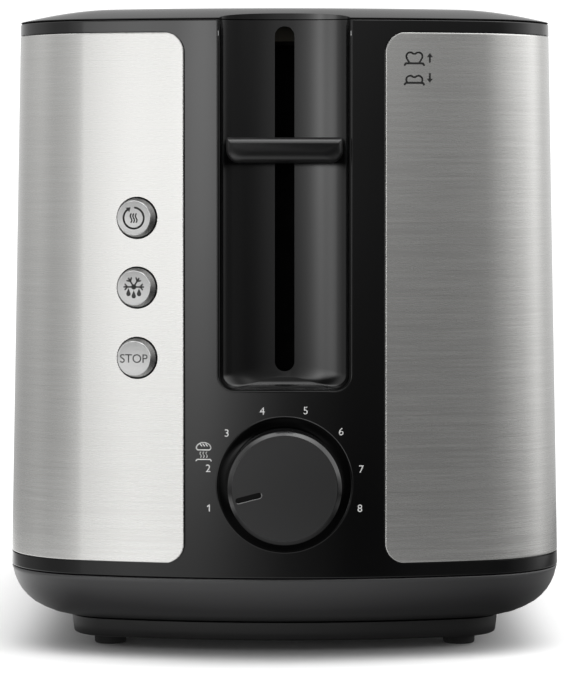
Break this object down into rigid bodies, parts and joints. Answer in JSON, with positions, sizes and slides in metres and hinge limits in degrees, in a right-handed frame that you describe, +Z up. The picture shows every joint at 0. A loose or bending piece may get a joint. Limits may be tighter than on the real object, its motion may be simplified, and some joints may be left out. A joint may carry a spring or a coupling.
{
  "type": "pop up toaster",
  "caption": "Two-slot pop-up toaster with brushed steel wraps, lever, browning dial, push buttons, fold-up bun rack and crumb tray",
  "frame": {"origin": "centre of the bounding box's bottom face, on the surface the feet stand on", "axes": "+Z up, -Y the control end, +X the right side seen from the control end, +Y the longest extent"},
  "size_m": [0.1818, 0.3194, 0.211],
  "materials": {
    "brushed_steel": "horizontal brushing, satin",
    "gloss_black_plastic": "polished black moulding",
    "satin_black_plastic": "fine satin black moulding",
    "dark_grey_plastic": "satin dark grey moulding",
    "chrome_trim": "polished bright plating",
    "black_rubber": "matt rubber",
    "zinc_steel": "zinc plated sheet",
    "spring_steel": "bright drawn wire",
    "soft_iron": "ground soft iron",
    "copper_winding": "enamelled copper wire",
    "circuit_board": "green solder mask",
    "mica_board": "flaky mica sheet",
    "heating_ribbon": "oxidised resistance ribbon",
    "ceramic_block": "unglazed cream ceramic",
    "brown_insulation": "silicone sleeve",
    "blue_insulation": "silicone sleeve"
  },
  "bodies": {
    "root": {"base_pan": "dark_grey_plastic", "plinth_ring": "satin_black_plastic", "front_panel": "gloss_black_plastic", "rear_panel": "gloss_black_plastic", "lever_channel": "dark_grey_plastic", "top_cover": "gloss_black_plastic", "chassis_front": "zinc_steel", "chassis_rear": "zinc_steel", "guide_shaft": "chrome_trim", "return_spring": "spring_steel", "magnet_core": "soft_iron", "magnet_coil": "copper_winding", "control_board": "circuit_board", "browning_potentiometer": "satin_black_plastic", "terminal_block": "ceramic_block", "cord_gland": "black_rubber", "supply_lead_live": "brown_insulation", "supply_lead_neutral": "blue_insulation", "reheat_collar": "satin_black_plastic", "reheat_switch": "satin_black_plastic", "defrost_collar": "satin_black_plastic", "defrost_switch": "satin_black_plastic", "stop_collar": "satin_black_plastic", "stop_switch": "satin_black_plastic", "side_liner_left": "gloss_black_plastic", "steel_wrap_left": "brushed_steel", "reflector_left": "zinc_steel", "heater_board_inner_left": "mica_board", "heater_ribbon_inner_left": "heating_ribbon", "heater_board_outer_left": "mica_board", "heater_ribbon_outer_left": "heating_ribbon", "foot_front_left": "black_rubber", "foot_rear_left": "black_rubber", "side_liner_right": "gloss_black_plastic", "steel_wrap_right": "brushed_steel", "reflector_right": "zinc_steel", "heater_board_inner_right": "mica_board", "heater_ribbon_inner_right": "heating_ribbon", "heater_board_outer_right": "mica_board", "heater_ribbon_outer_right": "heating_ribbon", "foot_front_right": "black_rubber", "foot_rear_right": "black_rubber"},
    "carriage": {"carriage_bracket": "zinc_steel", "bread_rack_left": "zinc_steel", "bread_rack_right": "zinc_steel", "latch_plate": "soft_iron", "lever_stem": "zinc_steel", "lever_knob": "satin_black_plastic"},
    "browning_dial": {"browning_knob": "satin_black_plastic"},
    "reheat_key": {"reheat_button": "chrome_trim"},
    "defrost_key": {"defrost_button": "chrome_trim"},
    "stop_key": {"stop_button": "chrome_trim"},
    "tray": {"crumb_tray": "zinc_steel", "crumb_tray_handle": "satin_black_plastic"},
    "guide_inner_left": {"bread_guide_inner_left": "zinc_steel"},
    "guide_outer_left": {"bread_guide_outer_left": "zinc_steel"},
    "guide_inner_right": {"bread_guide_inner_right": "zinc_steel"},
    "guide_outer_right": {"bread_guide_outer_right": "zinc_steel"},
    "bun_bail_left": {"bun_rack_left": "chrome_trim"},
    "bun_bail_right": {"bun_rack_right": "chrome_trim"}
  },
  "joints": [
    {"name": "lever_slide", "type": "slide", "parent": "root", "child": "carriage", "axis": [0, 0, 1], "range_m": [-0.065, 0.03], "stiffness_N_per_m": 250, "springref_m": 0.006, "deforming": ["return_spring"]},
    {"name": "browning_turn", "type": "hinge", "parent": "root", "child": "browning_dial", "pos_m": [0, -0.14673, 0.057], "axis": [0, 1, 0], "range_deg": [0, 213]},
    {"name": "reheat_press", "type": "slide", "parent": "root", "child": "reheat_key", "axis": [0.2277, 0.9737, 0], "range_m": [0, 0.0015], "stiffness_N_per_m": 400},
    {"name": "defrost_press", "type": "slide", "parent": "root", "child": "defrost_key", "axis": [0.2272, 0.9738, 0], "range_m": [0, 0.0015], "stiffness_N_per_m": 400},
    {"name": "stop_press", "type": "slide", "parent": "root", "child": "stop_key", "axis": [0.2267, 0.974, 0], "range_m": [0, 0.0015], "stiffness_N_per_m": 400},
    {"name": "crumb_tray_slide", "type": "slide", "parent": "root", "child": "tray", "axis": [0, 1, 0], "range_m": [0, 0.2]},
    {"name": "guide_tilt_inner_left", "type": "hinge", "parent": "root", "child": "guide_inner_left", "pos_m": [-0.012, 0, 0.042], "axis": [0, 1, 0], "range_deg": [-4, 1.85]},
    {"name": "guide_tilt_outer_left", "type": "hinge", "parent": "root", "child": "guide_outer_left", "pos_m": [-0.048, 0, 0.042], "axis": [0, 1, 0], "range_deg": [-1.85, 4]},
    {"name": "guide_tilt_inner_right", "type": "hinge", "parent": "root", "child": "guide_inner_right", "pos_m": [0.012, 0, 0.042], "axis": [0, 1, 0], "range_deg": [-1.85, 4]},
    {"name": "guide_tilt_outer_right", "type": "hinge", "parent": "root", "child": "guide_outer_right", "pos_m": [0.048, 0, 0.042], "axis": [0, 1, 0], "range_deg": [-4, 1.85]},
    {"name": "bun_bail_fold_left", "type": "hinge", "parent": "root", "child": "bun_bail_left", "pos_m": [-0.0515, 0.01533, 0.20925], "axis": [0, 1, 0], "range_deg": [0, 95]},
    {"name": "bun_bail_fold_right", "type": "hinge", "parent": "root", "child": "bun_bail_right", "pos_m": [0.0515, 0.01533, 0.20925], "axis": [0, -1, 0], "range_deg": [0, 95]}
  ],
  "couplings": [
    {"joint": "guide_tilt_inner_left", "follows": "lever_slide", "rad_per_m": 1.07},
    {"joint": "guide_tilt_outer_left", "follows": "lever_slide", "rad_per_m": -1.07},
    {"joint": "guide_tilt_inner_right", "follows": "lever_slide", "rad_per_m": -1.07},
    {"joint": "guide_tilt_outer_right", "follows": "lever_slide", "rad_per_m": 1.07}
  ]
}
